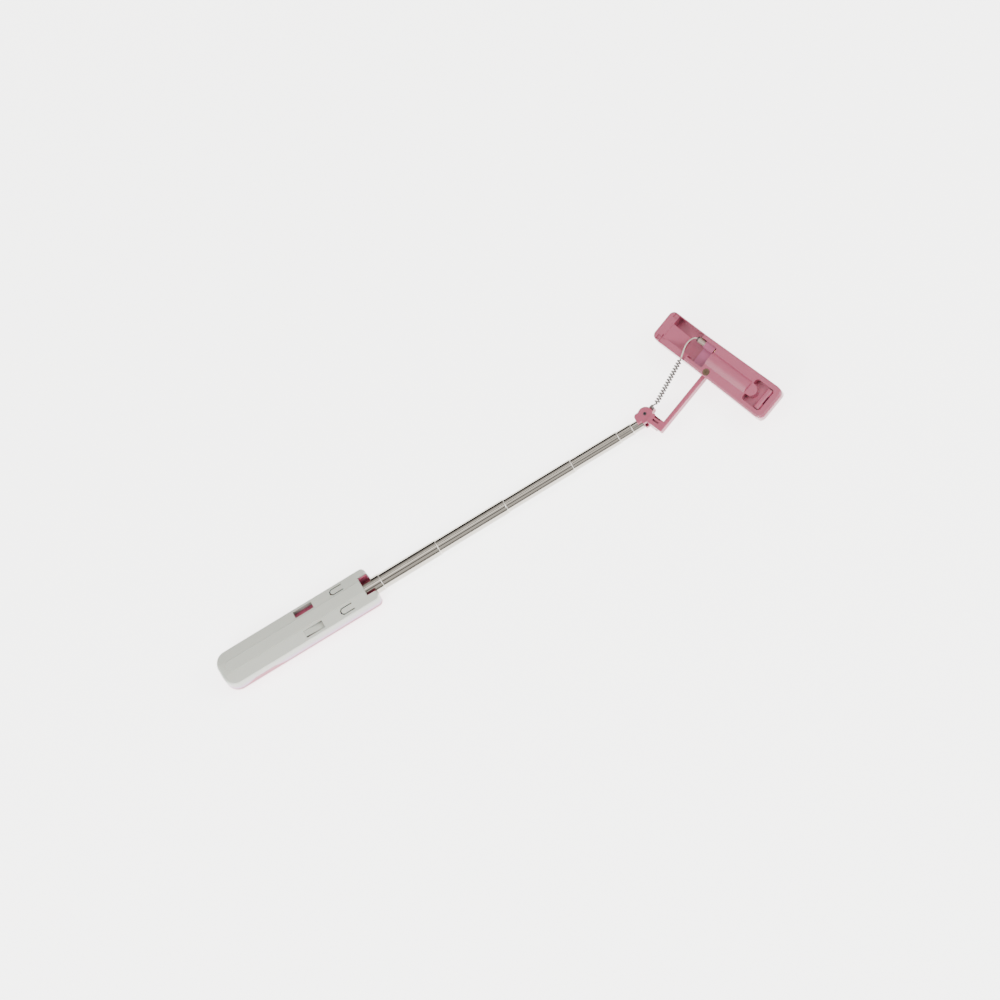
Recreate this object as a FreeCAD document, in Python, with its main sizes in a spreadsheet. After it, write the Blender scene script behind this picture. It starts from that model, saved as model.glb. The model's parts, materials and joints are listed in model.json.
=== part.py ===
import FreeCAD, Part
import math
import os
from types import SimpleNamespace
import Sketcher

# Folding selfie stick with a wired shutter button, in millimetres.
# The pole runs along +X, +Z is up, and the stick lies on the flat front face
# of its handle, whose centre is the origin. The head end (arm and phone clamp)
# is modelled in two turned frames: the arm frame about the fold hinge, and the
# clamp frame, whose X runs along the clamp from its sliding end.

DRIVING = {
    # handle
    "handle_length": 110.0,
    "handle_width": 25.0,
    "handle_height": 19.4,
    "cover_height": 7.0,
    "shell_wall": 1.6,
    "butt_radius": 9.0,
    "prong_reach": 6.8,
    "spine_width": 8.4,
    "spine_rise": 0.7,
    "flank_fall": 1.6,
    "edge_round": 3.0,
    "prong_round": 3.4,
    "axis_height": 8.8,
    "window_length": 14.0,
    "window_width": 5.2,
    "window_from_mouth": 48.4,
    "flank_feature_y": 7.9,
    "tab_length": 9.6,
    "tab_width": 5.0,
    "tab_slot": 0.85,
    "tab_from_mouth": 21.0,
    "scallop_length": 30.0,
    "scallop_rise": 3.0,
    # shutter button
    "button_length": 12.0,
    "button_width": 8.0,
    "button_from_butt": 18.0,
    "button_gap": 0.2,
    "button_sink": 0.35,
    "button_travel": 0.7,
    "board_length": 19.0,
    "board_width": 12.0,
    "board_thick": 1.0,
    "board_level": 6.2,
    "switch_side": 4.5,
    # pole
    "pole_radius": 6.0,
    "tube_step": 0.4,
    "tube_wall": 0.22,
    "tube_play": 0.04,
    "first_tube_length": 90.0,
    "tube_length": 86.5,
    "lip_length": 0.9,
    "bush_length": 5.0,
    "groove_radius": 1.0,
    "groove_depth": 0.35,
    "show_first": 12.9,
    "show_two": 43.6,
    "show_three": 52.5,
    "show_four": 51.3,
    "show_five": 35.8,
    "show_six": 10.6,
    "show_seven": 4.6,
    # head and fold hinge
    "head_length": 7.5,
    "head_top": 14.6,
    "head_bottom": 3.2,
    "head_side_low": 1.2,
    "head_side_high": 5.8,
    "socket_length": 3.7,
    "socket_depth": 3.0,
    "pin_side": 2.2,
    "ear_radius": 5.2,
    "ear_thick": 3.0,
    "eye_radius": 4.0,
    "hinge_gap": 0.2,
    "rivet_radius": 0.9,
    "rivet_head_radius": 1.2,
    "rivet_head_thick": 0.3,
    # arm
    "arm_angle": 21.1,
    "arm_offset": 16.9,
    "arm_width": 3.2,
    "arm_high": 18.6,
    "arm_low": 13.6,
    "foot_back": 3.6,
    "foot_front": 3.0,
    "screw_reach": 45.6,
    "screw_offset": 18.6,
    # clamp
    "clamp_square": 90.0,
    "clamp_length": 98.9,
    "clamp_width": 22.8,
    "clamp_flare": 2.6,
    "clamp_back": 23.4,
    "clamp_front": 14.0,
    "clamp_wall": 1.5,
    "clamp_spine_rise": 1.5,
    "clamp_lower_edge": 2.0,
    "clamp_end_slope": 4.5,
    "guide_wall": 2.8,
    "plate_thick": 1.6,
    "jaw_thick": 4.6,
    "lip_thick": 2.2,
    "lip_reach": 3.6,
    "pad_thick": 1.2,
    "moving_jaw_from_end": 8.0,
    "fixed_jaw_from_end": 80.3,
    "jaw_half_width": 8.5,
    "guide_from_end": 29.0,
    "roof_from_end": 42.4,
    "screw_along": 46.9,
    "screw_across": 8.7,
    "screw_radius": 1.5,
    "screw_head_radius": 2.5,
    "pocket_from_end": 78.0,
    "pocket_length": 15.6,
    "pocket_depth": 5.0,
    "thumb_radius": 4.4,
    "slide_play": 0.15,
    "tray_end": 7.2,
    "tray_floor": 1.6,
    "panel_side": 4.0,
    "panel_length": 15.0,
    "tongue_end": 66.0,
    "spring_radius": 1.3,
    "spring_wire": 0.4,
    "spring_across": 4.2,
    "spring_level": 15.5,
    # lead and plug
    "lead_diameter": 1.0,
    "coil_diameter": 3.8,
    "plug_radius": 2.15,
    "plug_length": 5.7,
    "plug_from_end": 27.3,
    "plug_gap": 0.25,
    "plug_level": 19.6,
    "plug_collar": 1.4,
    "dock_length": 8.0,
    "tip_radius": 1.75,
    "tip_length": 14.0,
    "tip_play": 0.06,
}


THROUGH = 20  # a cut this deep always comes out on the far side
FIT_GAP = 0.15  # play between two moulded faces that meet
BORE_GAP = 0.04  # play between a pin and its hole
TAIL_SHARE = 0.42  # round of the spine's tail over the spine's width
BELLY_SHARE = 0.78  # round of the front cover's edge over its height
CORNER_SHARE = 0.75  # cut corner of the handle's hollow over its inner radius
SCREW_HOLE = 0.75  # pilot radius of the clamp's small screws


class Size:
    """A length or angle with its number and its spreadsheet expression."""

    def __init__(self, number, text):
        self.number = float(number)
        self.text = text

    def __add__(self, other):
        other = as_size(other)
        return Size(self.number + other.number, f"({self.text} + {other.text})")

    def __sub__(self, other):
        other = as_size(other)
        return Size(self.number - other.number, f"({self.text} - {other.text})")

    def __mul__(self, other):
        other = as_size(other)
        return Size(self.number * other.number, f"({self.text} * {other.text})")

    def __truediv__(self, other):
        other = as_size(other)
        return Size(self.number / other.number, f"({self.text} / {other.text})")

    def __radd__(self, other):
        return as_size(other) + self

    def __rsub__(self, other):
        return as_size(other) - self

    def __rmul__(self, other):
        return as_size(other) * self

    def __neg__(self):
        return Size(-self.number, f"(0 - {self.text})")

    def __float__(self):
        return self.number


def as_size(value):
    """Return value as a Size; a plain number stands for itself."""
    if isinstance(value, Size):
        return value
    return Size(value, f"({value})")


doc = FreeCAD.newDocument("selfie_stick")
sheet = doc.addObject("Spreadsheet::Sheet", "Sizes")
D = SimpleNamespace()
for row, (alias, number) in enumerate(DRIVING.items(), start=1):
    sheet.set(f"A{row}", alias)
    sheet.set(f"B{row}", str(number))
    sheet.setAlias(f"B{row}", alias)
    setattr(D, alias, Size(number, f"Sizes.{alias}"))
doc.recompute()

subparts = []


# ---------------------------------------------------------------- helpers


def bind(thing, path, value):
    """Tie one property of thing to the spreadsheet."""
    thing.setExpression(path, as_size(value).text)


def place(thing, x, y, z):
    """Tie the place of thing to the spreadsheet."""
    bind(thing, "Placement.Base.x", x)
    bind(thing, "Placement.Base.y", y)
    bind(thing, "Placement.Base.z", z)


def box(name, x, y, z):
    """A box between the two values of x, y and z."""
    solid = doc.addObject("Part::Box", name)
    bind(solid, "Length", x[1] - as_size(x[0]))
    bind(solid, "Width", y[1] - as_size(y[0]))
    bind(solid, "Height", z[1] - as_size(z[0]))
    place(solid, x[0], y[0], z[0])
    return solid


AXIS_TURN = {
    "X": FreeCAD.Rotation(FreeCAD.Vector(0, 1, 0), 90),
    "Y": FreeCAD.Rotation(FreeCAD.Vector(1, 0, 0), -90),
    "Z": FreeCAD.Rotation(),
}


def cylinder(name, radius, length, base, axis="Z"):
    """A cylinder that starts at base and runs along axis."""
    solid = doc.addObject("Part::Cylinder", name)
    solid.Placement = FreeCAD.Placement(FreeCAD.Vector(), AXIS_TURN[axis])
    bind(solid, "Radius", radius)
    bind(solid, "Height", length)
    place(solid, *base)
    return solid


def cone(name, radius_start, radius_end, length, base, axis="Z"):
    """A cone frustum that starts at base and runs along axis."""
    solid = doc.addObject("Part::Cone", name)
    solid.Placement = FreeCAD.Placement(FreeCAD.Vector(), AXIS_TURN[axis])
    bind(solid, "Radius1", radius_start)
    bind(solid, "Radius2", radius_end)
    bind(solid, "Height", length)
    place(solid, *base)
    return solid


def fuse(name, pieces):
    """One solid from several that overlap."""
    joined = doc.addObject("Part::MultiFuse", name)
    joined.Shapes = pieces
    joined.Refine = True
    return joined


def cut(name, base, tools):
    """base with every tool taken away."""
    tool = tools[0]
    if len(tools) > 1:
        tool = fuse(name + "_tools", tools)
    remainder = doc.addObject("Part::Cut", name)
    remainder.Base = base
    remainder.Tool = tool
    remainder.Refine = True
    return remainder


def near(value, target, tolerance=0.02):
    """True when value is target to within a small tolerance."""
    return abs(value - float(target)) < tolerance


class Body:
    """A PartDesign body built from sketches, pads and pockets."""

    def __init__(self, name):
        self.name = name
        self.body = doc.addObject("PartDesign::Body", name)
        self.steps = 0

    def plane(self, role):
        """The body's own origin plane with this role."""
        for feature in self.body.Origin.OriginFeatures:
            if feature.Role == role:
                return feature
        raise ValueError(role)

    def sketch(self, role, offset=0):
        """An empty sketch on an origin plane, moved along its normal."""
        self.steps += 1
        drawing = self.body.newObject("Sketcher::SketchObject", f"{self.name}_sketch{self.steps}")
        drawing.AttachmentSupport = [(self.plane(role), "")]
        drawing.MapMode = "FlatFace"
        bind(drawing, "AttachmentOffset.Base.z", offset)
        return drawing

    def fix(self, drawing, geometry, point, spot):
        """Tie one point of a sketch to the spreadsheet."""
        for kind, value in zip(("DistanceX", "DistanceY"), spot):
            size = as_size(value)
            if abs(size.number) < 1e-9 and "Sizes" not in size.text:
                other = {"DistanceX": -2, "DistanceY": -1}[kind]
                drawing.addConstraint(Sketcher.Constraint("PointOnObject", geometry, point, other))
                continue
            sign = 1.0 if size.number >= 0 else -1.0
            pair = (-1, 1, geometry, point) if sign > 0 else (geometry, point, -1, 1)
            index = drawing.addConstraint(Sketcher.Constraint(kind, *pair, abs(size.number)))
            text = size.text if sign > 0 else f"(0 - {size.text})"
            drawing.setExpression(f"Constraints[{index}]", text)

    def polygon(self, drawing, corners):
        """A closed outline of straight sides."""
        spots = [FreeCAD.Vector(float(x), float(y), 0) for x, y in corners]
        count = len(spots)
        first = drawing.GeometryCount
        for index in range(count):
            side = Part.LineSegment(spots[index], spots[(index + 1) % count])
            drawing.addGeometry(side, False)
        for index in range(count):
            following = first + (index + 1) % count
            drawing.addConstraint(Sketcher.Constraint("Coincident", first + index, 2, following, 1))
        for index, corner in enumerate(corners):
            self.fix(drawing, first + index, 1, corner)

    def circle(self, drawing, centre, radius):
        """A full circle."""
        spot = FreeCAD.Vector(float(centre[0]), float(centre[1]), 0)
        ring = Part.Circle(spot, FreeCAD.Vector(0, 0, 1), float(radius))
        index = drawing.addGeometry(ring, False)
        self.fix(drawing, index, 3, centre)
        constraint = drawing.addConstraint(Sketcher.Constraint("Radius", index, float(radius)))
        drawing.setExpression(f"Constraints[{constraint}]", as_size(radius).text)

    def feature(self, kind, drawing, length, reverse, both):
        """A pad or pocket of a sketch."""
        self.steps += 1
        step = self.body.newObject(f"PartDesign::{kind}", f"{self.name}_{kind}{self.steps}")
        step.Profile = drawing
        step.Reversed = reverse
        step.Midplane = both
        bind(step, "Length", length)
        self.settle(step)
        return step

    def settle(self, step):
        """Recompute, and stop with the step's name if it did not build."""
        doc.recompute()
        if "Invalid" in step.State or "Error" in step.State or not step.Shape.isValid():
            raise RuntimeError(f"{step.Name} did not build: {step.getStatusString()}")

    def pad(self, role, offset, corners, length, reverse=False, both=False):
        """Add an extruded polygon."""
        drawing = self.sketch(role, offset)
        self.polygon(drawing, corners)
        return self.feature("Pad", drawing, length, reverse, both)

    def pocket(self, role, offset, outlines, length, reverse=False, both=False):
        """Take away extruded polygons or (centre, radius) circles."""
        drawing = self.sketch(role, offset)
        for outline in outlines:
            if isinstance(outline, tuple):
                self.circle(drawing, *outline)
            else:
                self.polygon(drawing, outline)
        before = self.body.Shape.Volume
        step = self.feature("Pocket", drawing, length, reverse, both)
        if not self.body.Shape.Volume < before - 1e-6:
            raise RuntimeError(f"{step.Name} cuts nothing")
        return step

    def round(self, radius, chosen, kind="Fillet"):
        """Round or chamfer the edges that chosen(edge) picks."""
        base = self.body.Tip
        picked = []
        for index, edge in enumerate(base.Shape.Edges, start=1):
            if chosen(edge):
                picked.append(f"Edge{index}")
        if not picked:
            raise RuntimeError(f"{self.name}: no edge to round")
        self.steps += 1
        step = self.body.newObject(f"PartDesign::{kind}", f"{self.name}_{kind}{self.steps}")
        step.Base = (base, picked)
        bind(step, "Radius" if kind == "Fillet" else "Size", radius)
        self.settle(step)
        return step

    def done(self):
        """The finished body."""
        return self.body


def upright_at(spots):
    """A test for vertical edges at the given x, y spots."""
    def chosen(edge):
        low, high = edge.BoundBox.ZMin, edge.BoundBox.ZMax
        if high - low < 0.3 or edge.BoundBox.XLength > 0.02 or edge.BoundBox.YLength > 0.02:
            return False
        for x, y in spots:
            if near(edge.BoundBox.XMin, x) and near(edge.BoundBox.YMin, y):
                return True
        return False
    return chosen


def rectangle(x, y):
    """The corners of a rectangle between two x and two y values."""
    return [(x[0], y[0]), (x[1], y[0]), (x[1], y[1]), (x[0], y[1])]


def finish(name, thing, frame=None):
    """Name a sub-part, set it in its frame and list it for export."""
    if frame is not None and "Placement.Base.x" in str(thing.ExpressionEngine):
        primitive = thing
        thing = doc.addObject("Part::Compound", name + "_in_frame")
        thing.Links = [primitive]
    thing.Label = name
    if frame is not None:
        thing.Placement = frame
    subparts.append(thing)


def turned(angle, x, y):
    """x, y turned by an angle in degrees."""
    cosine = math.cos(math.radians(angle))
    sine = math.sin(math.radians(angle))
    return FreeCAD.Vector(cosine * x - sine * y, sine * x + cosine * y, 0)


# ---------------------------------------------------------------- stations

half_length = D.handle_length / 2
half_width = D.handle_width / 2
mouth = half_length
butt = -half_length
shoulder = D.handle_height - D.spine_rise
shows = [D.show_first, D.show_two, D.show_three, D.show_four, D.show_five, D.show_six]
tube_ends = []
reach = mouth
for show in shows:
    reach = reach + show
    tube_ends.append(reach)
head_start = reach + D.show_seven
tube_ends.append(head_start + D.socket_depth)
pin_x = head_start + D.head_length
tube_radii = [D.pole_radius - D.tube_step * index for index in range(len(tube_ends))]

Z_AXIS = FreeCAD.Vector(0, 0, 1)
arm_angle = D.arm_angle.number
clamp_angle = arm_angle - D.clamp_square.number
pin_spot = FreeCAD.Vector(float(pin_x), float(D.pin_side), 0)
ARM = FreeCAD.Placement(pin_spot, FreeCAD.Rotation(Z_AXIS, arm_angle))
screw_spot = pin_spot + turned(arm_angle, float(D.screw_reach), -float(D.screw_offset))
clamp_spot = screw_spot - turned(clamp_angle, float(D.screw_along), -float(D.screw_across))
CLAMP = FreeCAD.Placement(clamp_spot, FreeCAD.Rotation(Z_AXIS, clamp_angle))


# ---------------------------------------------------------------- handle

prong_inner = D.pole_radius + 1.2
prong_end = mouth + D.prong_reach
LONG = D.handle_length + 2 * D.prong_reach


def handle_outline():
    """The plan of the back shell: two prongs stand past the mouth."""
    return [
        (butt, -half_width),
        (prong_end, -half_width),
        (prong_end, -prong_inner),
        (mouth, -prong_inner),
        (mouth, prong_inner),
        (prong_end, prong_inner),
        (prong_end, half_width),
        (butt, half_width),
    ]


def hollow_outline(front, side):
    """The plan of the handle's hollow: its butt corners follow the round."""
    back = butt + D.shell_wall
    corner = (D.butt_radius - D.shell_wall) * CORNER_SHARE
    return [
        (back + corner, -side),
        (front, -side),
        (front, side),
        (back + corner, side),
        (back, side - corner),
        (back, corner - side),
    ]


def scallop(clearance):
    """The side outline where the cover rises into the back shell."""
    start = butt + 12
    end = start + D.scallop_length
    low = D.cover_height - 1
    high = D.cover_height + D.scallop_rise
    return [
        (start - clearance, low),
        (end + clearance, low),
        (end + clearance, D.cover_height),
        (end - 9 + clearance / 2, high + clearance),
        (start + 7 - clearance / 2, high + clearance),
        (start - clearance, D.cover_height),
    ]


def back_shell():
    """White back half: crowned flanks, raised spine, windows and snap tabs."""
    part = Body("handle_back_shell")
    base = D.cover_height
    part.pad("XY_Plane", base, handle_outline(), shoulder - base)
    corners = [(butt, half_width), (butt, -half_width)]
    part.round(D.butt_radius, upright_at(corners))
    tips = [(prong_end, half_width), (prong_end, -half_width)]
    part.round(D.prong_round, upright_at(tips))

    def outer_top(edge):
        spot = edge.CenterOfMass
        outside = abs(spot.y) > float(half_width) - 3.1 or spot.x < float(butt) + 4
        inside_prong = abs(spot.y) < float(prong_inner) + 0.5 and spot.x > float(butt) + 4
        return outside and near(edge.BoundBox.ZMin, shoulder) and not inside_prong

    part.round(D.edge_round, outer_top)
    edge_z = shoulder - D.flank_fall
    for side in (1, -1):
        wedge = [
            (side * D.spine_width / 2, shoulder),
            (side * (half_width + 1), shoulder),
            (side * (half_width + 1), edge_z),
            (side * half_width, edge_z),
        ]
        part.pocket("YZ_Plane", 0, [wedge], LONG * 2, both=True)
    spine_tail = butt + 5
    spine = [
        (spine_tail, -D.spine_width / 2),
        (mouth, -D.spine_width / 2),
        (mouth, D.spine_width / 2),
        (spine_tail, D.spine_width / 2),
    ]
    part.pad("XY_Plane", shoulder - 1.2, spine, D.spine_rise + 1.2)
    tail = [(spine_tail, D.spine_width / 2), (spine_tail, -D.spine_width / 2)]
    part.round(D.spine_width * TAIL_SHARE, upright_at(tail))

    def spine_top(edge):
        return near(edge.BoundBox.ZMin, D.handle_height) and edge.CenterOfMass.x < float(mouth) - 0.1

    part.round(D.spine_rise * 0.7, spine_top, "Chamfer")
    wall = D.shell_wall
    inner = hollow_outline(mouth - wall * 1.5, half_width - wall)
    part.pocket("XY_Plane", base, [inner], edge_z - wall - base, reverse=True)
    deep = rectangle((butt + 6, mouth - wall * 1.5), (-D.spine_width, D.spine_width))
    part.pocket("XY_Plane", base, [deep], shoulder - wall - base, reverse=True)
    gate_x = mouth - 5
    gate = [((0, D.axis_height), D.pole_radius + FIT_GAP)]
    part.pocket("YZ_Plane", gate_x, gate, 10, reverse=True)
    throat = rectangle((gate_x, mouth + 1), (-D.pole_radius - FIT_GAP, D.pole_radius + FIT_GAP))
    part.pocket("XY_Plane", base - 1, [throat], D.axis_height - base + 1, reverse=True)
    cut_side = scallop(FIT_GAP)
    part.pocket("XZ_Plane", 0, [cut_side], D.handle_width * 2, both=True)
    window_x = mouth - D.window_from_mouth
    for side in (1, -1):
        middle = side * D.flank_feature_y
        low, high = middle - D.window_width / 2, middle + D.window_width / 2
        window = rectangle((window_x, window_x + D.window_length), (low, high))
        part.pocket("XY_Plane", D.axis_height, [window], THROUGH, reverse=True)
        tab_x = mouth - D.tab_from_mouth
        tab_low, tab_high = middle - D.tab_width / 2, middle + D.tab_width / 2
        slot = D.tab_slot
        nose = D.tab_width * 0.3
        tab = [
            (tab_x + D.tab_length, tab_low),
            (tab_x + nose, tab_low),
            (tab_x, tab_low + nose),
            (tab_x, tab_high - nose),
            (tab_x + nose, tab_high),
            (tab_x + D.tab_length, tab_high),
            (tab_x + D.tab_length, tab_high - slot),
            (tab_x + nose + slot * 0.4, tab_high - slot),
            (tab_x + slot, tab_high - nose - slot * 0.4),
            (tab_x + slot, tab_low + nose + slot * 0.4),
            (tab_x + nose + slot * 0.4, tab_low + slot),
            (tab_x + D.tab_length, tab_low + slot),
        ]
        part.pocket("XY_Plane", D.axis_height, [tab], THROUGH, reverse=True)
    window_end = window_x + D.window_length
    ramp = [
        (window_x - 0.5, shoulder - 1.5),
        (window_x - 0.5, shoulder - 0.9),
        (window_x + 1, shoulder - 0.9),
        (window_end + 0.5, shoulder - 3.6),
        (window_end + 0.5, shoulder - 4.4),
        (window_x + 1, shoulder - 1.9),
    ]
    inner_edge = D.flank_feature_y - D.window_width / 2 - 0.5
    part.pad("XZ_Plane", inner_edge, ramp, D.window_width - 0.5)
    finish(part.name, part.done())


def front_cover():
    """Pink front half: flat rest face, round sides, button hole, pole cradle."""
    part = Body("handle_front_cover")
    outline = rectangle((butt, prong_end), (-half_width, half_width))
    part.pad("XY_Plane", 0, outline, D.cover_height)
    corners = [(butt, half_width), (butt, -half_width)]
    part.round(D.butt_radius, upright_at(corners))
    tips = [(prong_end, half_width), (prong_end, -half_width)]
    part.round(D.prong_round, upright_at(tips))

    def lower_edge(edge):
        return near(edge.BoundBox.ZMax, 0)

    part.round(D.cover_height * BELLY_SHARE, lower_edge)
    wall = D.shell_wall
    rise = scallop(0)
    wing = D.shell_wall * 0.9
    part.pad("XZ_Plane", 0, rise, D.handle_width - 0.02, both=True)
    inner = hollow_outline(mouth - 0.3, half_width - wing)
    part.pocket("XY_Plane", wall, [inner], D.handle_height, reverse=True)
    for side in (1, -1):
        liner = rectangle(
            (mouth + 0.1, prong_end - 0.6), (side * (prong_inner - 0.9), side * (prong_inner - 0.1))
        )
        part.pad("XY_Plane", wall, liner, shoulder - 2.2 - wall)
    window_x = mouth - D.window_from_mouth
    sill = rectangle(
        (window_x - 1, window_x + D.window_length + 1), (D.pole_radius + 0.4, half_width - wall - 0.1)
    )
    part.pad("XY_Plane", wall - 0.1, sill, D.axis_height + 1.2)
    seat = [((0, D.axis_height), D.pole_radius + FIT_GAP)]
    part.pocket("YZ_Plane", mouth - 1, seat, THROUGH, reverse=True)
    hole_x = butt + D.button_from_butt
    half_hole = D.button_length / 2 + D.button_gap
    side_hole = D.button_width / 2 + D.button_gap
    hole = rectangle((hole_x - half_hole, hole_x + half_hole), (-side_hole, side_hole))
    part.pocket("XY_Plane", -1, [hole], wall + 2, reverse=True)
    part.round(D.button_width * 0.3, upright_at(hole))
    finish(part.name, part.done())


def shutter_parts():
    """Button, tact switch, its board, and the board's two screws."""
    centre = butt + D.button_from_butt
    part = Body("shutter_button")
    outline = rectangle(
        (centre - D.button_length / 2, centre + D.button_length / 2),
        (-D.button_width / 2, D.button_width / 2),
    )
    top = D.shell_wall + 0.3
    part.pad("XY_Plane", D.button_sink, outline, top - D.button_sink)
    part.round(D.button_width * 0.3, upright_at(outline))
    flange = rectangle(
        (centre - D.button_length / 2 - 1, centre + D.button_length / 2 + 1),
        (-D.button_width / 2 - 1, D.button_width / 2 + 1),
    )
    part.pad("XY_Plane", D.shell_wall + 0.05, flange, 0.8)
    stem = rectangle((centre - 1.2, centre + 1.2), (-1.2, 1.2))
    stem_top = D.board_level - 1.8 - D.button_travel - 0.1
    part.pad("XY_Plane", D.shell_wall + 0.2, stem, stem_top - D.shell_wall - 0.2)

    def face_edge(edge):
        return near(edge.BoundBox.ZMax, D.button_sink)

    part.round(0.5, face_edge)
    finish(part.name, part.done())

    half = D.switch_side / 2
    case = box(
        "switch_case",
        (centre - half, centre + half),
        (-half, half),
        (D.board_level - 1.4, D.board_level),
    )
    plunger = cylinder("switch_plunger", 0.9, 0.6, (centre, 0, D.board_level - 1.8))
    finish("tact_switch", fuse("tact_switch", [case, plunger]))

    start = centre - D.board_length / 2 + 1
    plate = box(
        "board_plate",
        (start, start + D.board_length),
        (-D.board_width / 2, D.board_width / 2),
        (D.board_level, D.board_level + D.board_thick),
    )
    screw_spots = [(start + 2, 0), (start + D.board_length - 2, 0)]
    holes = []
    screws = []
    for index, (x, y) in enumerate(screw_spots):
        holes.append(cylinder(f"board_hole{index}", 0.8, 4, (x, y, D.board_level - 1)))
        shank = cylinder(f"board_screw_shank{index}", 0.7, 3.2, (x, y, D.board_level - 2))
        cap = cylinder(
            f"board_screw_cap{index}", 1.4, 0.8, (x, y, D.board_level + D.board_thick)
        )
        screws.append(fuse(f"board_screw{index}", [shank, cap]))
    finish("shutter_board", cut("shutter_board", plate, holes))
    group = doc.addObject("Part::Compound", "board_screws")
    group.Links = screws
    finish("board_screws", group)


def pole_fixings():
    """Collar at the mouth, plug in the pole's root, and the plug's screw."""
    radius = D.pole_radius
    under_roof = shoulder - D.shell_wall - D.axis_height + 0.05
    ring = cylinder("collar_ring", under_roof, 5, (mouth - 9, 0, D.axis_height), "X")
    bore = cylinder("collar_bore", radius + 0.03, 8, (mouth - 10, 0, D.axis_height), "X")
    trim = box("collar_trim", (mouth - 10, mouth), (-9, 9), (-5, D.shell_wall + 0.05))
    finish("pole_collar", cut("pole_collar", ring, [bore, trim]))
    root = tube_ends[0] - D.first_tube_length
    inside = radius - D.tube_wall
    body = cylinder("root_body", inside - 0.03, 6, (root, 0, D.axis_height), "X")
    flange = cylinder("root_flange", radius + 0.8, 1.5, (root - 1.5, 0, D.axis_height), "X")
    key = cylinder(
        "root_key", D.groove_radius + D.tube_wall + 0.05, 9,
        (root, 0, D.axis_height + radius + D.groove_radius - D.groove_depth), "X",
    )
    hole = cylinder("root_hole", 0.9, 12, (root - 3, 0, D.axis_height), "X")
    plug = cut("pole_root_plug", fuse("root_solid", [body, flange]), [key, hole])
    finish("pole_root_plug", plug)


# ---------------------------------------------------------------- pole tubes


def grooved(name, radius, groove, start, length, groove_level):
    """A rod with the anti-turn groove along its top."""
    rod = cylinder(name + "_rod", radius, length, (start, 0, D.axis_height), "X")
    key = cylinder(
        name + "_key", groove, length + 2, (start - 1, 0, D.axis_height + groove_level), "X"
    )
    return cut(name, rod, [key])


def pole_tube(number):
    """One grooved tube; its mouth is crimped in to guide the next tube."""
    name = f"pole_tube_{number + 1}"
    radius = tube_radii[number]
    end = tube_ends[number]
    length = D.first_tube_length if number == 0 else D.tube_length
    level = radius + D.groove_radius - D.groove_depth
    outer = grooved(name + "_outer", radius, D.groove_radius, end - length, length, level)
    lip = D.lip_length if number < len(tube_ends) - 1 else as_size(-1)
    bore = grooved(
        name + "_bore", radius - D.tube_wall, D.groove_radius + D.tube_wall,
        end - length - 1, length - lip + 1, level,
    )
    mouth_bore = grooved(
        name + "_mouth", radius - D.tube_step + D.tube_play, D.groove_radius + D.tube_wall,
        end - 3, as_size(4), level,
    )
    tools = [bore, mouth_bore] if number < len(tube_ends) - 1 else [bore]
    finish(name, cut(name, outer, tools))


def slide_bush(number):
    """The split ring that fills the play at a tube's inner end."""
    name = f"slide_bush_{number + 1}"
    radius = tube_radii[number]
    start = tube_ends[number] - D.tube_length
    thick = D.tube_step - D.tube_wall - D.tube_play
    ring = cylinder(name + "_ring", radius + thick, D.bush_length, (start, 0, D.axis_height), "X")
    hole = cylinder(
        name + "_hole", radius, D.bush_length + 2, (start - 1, 0, D.axis_height), "X"
    )
    gap = box(
        name + "_gap", (start - 1, start + D.bush_length + 1),
        (-1.3, 1.3), (D.axis_height, D.axis_height + D.pole_radius + 2),
    )
    finish(name, cut(name, ring, [hole, gap]))


# ---------------------------------------------------------------- head and arm


def pole_head():
    """The fitting on the last tube, with two ears round the fold hinge."""
    side = D.pin_side
    part = Body("pole_head")
    block = rectangle(
        (head_start, head_start + D.socket_length), (-D.head_side_low, D.head_side_high)
    )
    part.pad("XY_Plane", D.head_bottom, block, D.head_top - D.head_bottom)
    bridge_x = head_start + D.socket_length - 0.4
    bridge = rectangle((bridge_x, pin_x), (side - D.ear_radius, D.head_side_high))
    part.pad("XY_Plane", D.head_bottom, bridge, D.head_top - D.head_bottom)
    ear = part.sketch("XY_Plane", D.head_bottom)
    part.circle(ear, (pin_x, side), D.ear_radius)
    part.feature("Pad", ear, D.head_top - D.head_bottom, False, False)
    lump = [(head_start, D.head_side_high)]
    part.round(2.2, upright_at(lump))
    gap_low = D.head_bottom + D.ear_thick
    gap_high = D.head_top - D.ear_thick
    gap = rectangle((head_start + D.socket_length, pin_x + 9), (-9, 12))
    part.pocket("XY_Plane", gap_low, [gap], gap_high - gap_low, reverse=True)
    bite = [((pin_x, side), D.eye_radius + D.hinge_gap)]
    part.pocket("XY_Plane", gap_low, bite, gap_high - gap_low, reverse=True)
    hole = [((pin_x, side), D.rivet_radius + BORE_GAP)]
    part.pocket("XY_Plane", 0, hole, THROUGH * 2, reverse=True)
    socket = [((0, D.axis_height), tube_radii[-1] + 0.02)]
    part.pocket("YZ_Plane", head_start - 1, socket, D.socket_depth + 1, reverse=True)

    def ear_rim(edge):
        level = near(edge.BoundBox.ZMin, D.head_top) or near(edge.BoundBox.ZMax, D.head_bottom)
        flat = edge.BoundBox.ZLength < 0.01
        return flat and level and edge.Length > 4 and not edge.isClosed()

    part.round(0.5, ear_rim, "Chamfer")
    finish(part.name, part.done())


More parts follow.
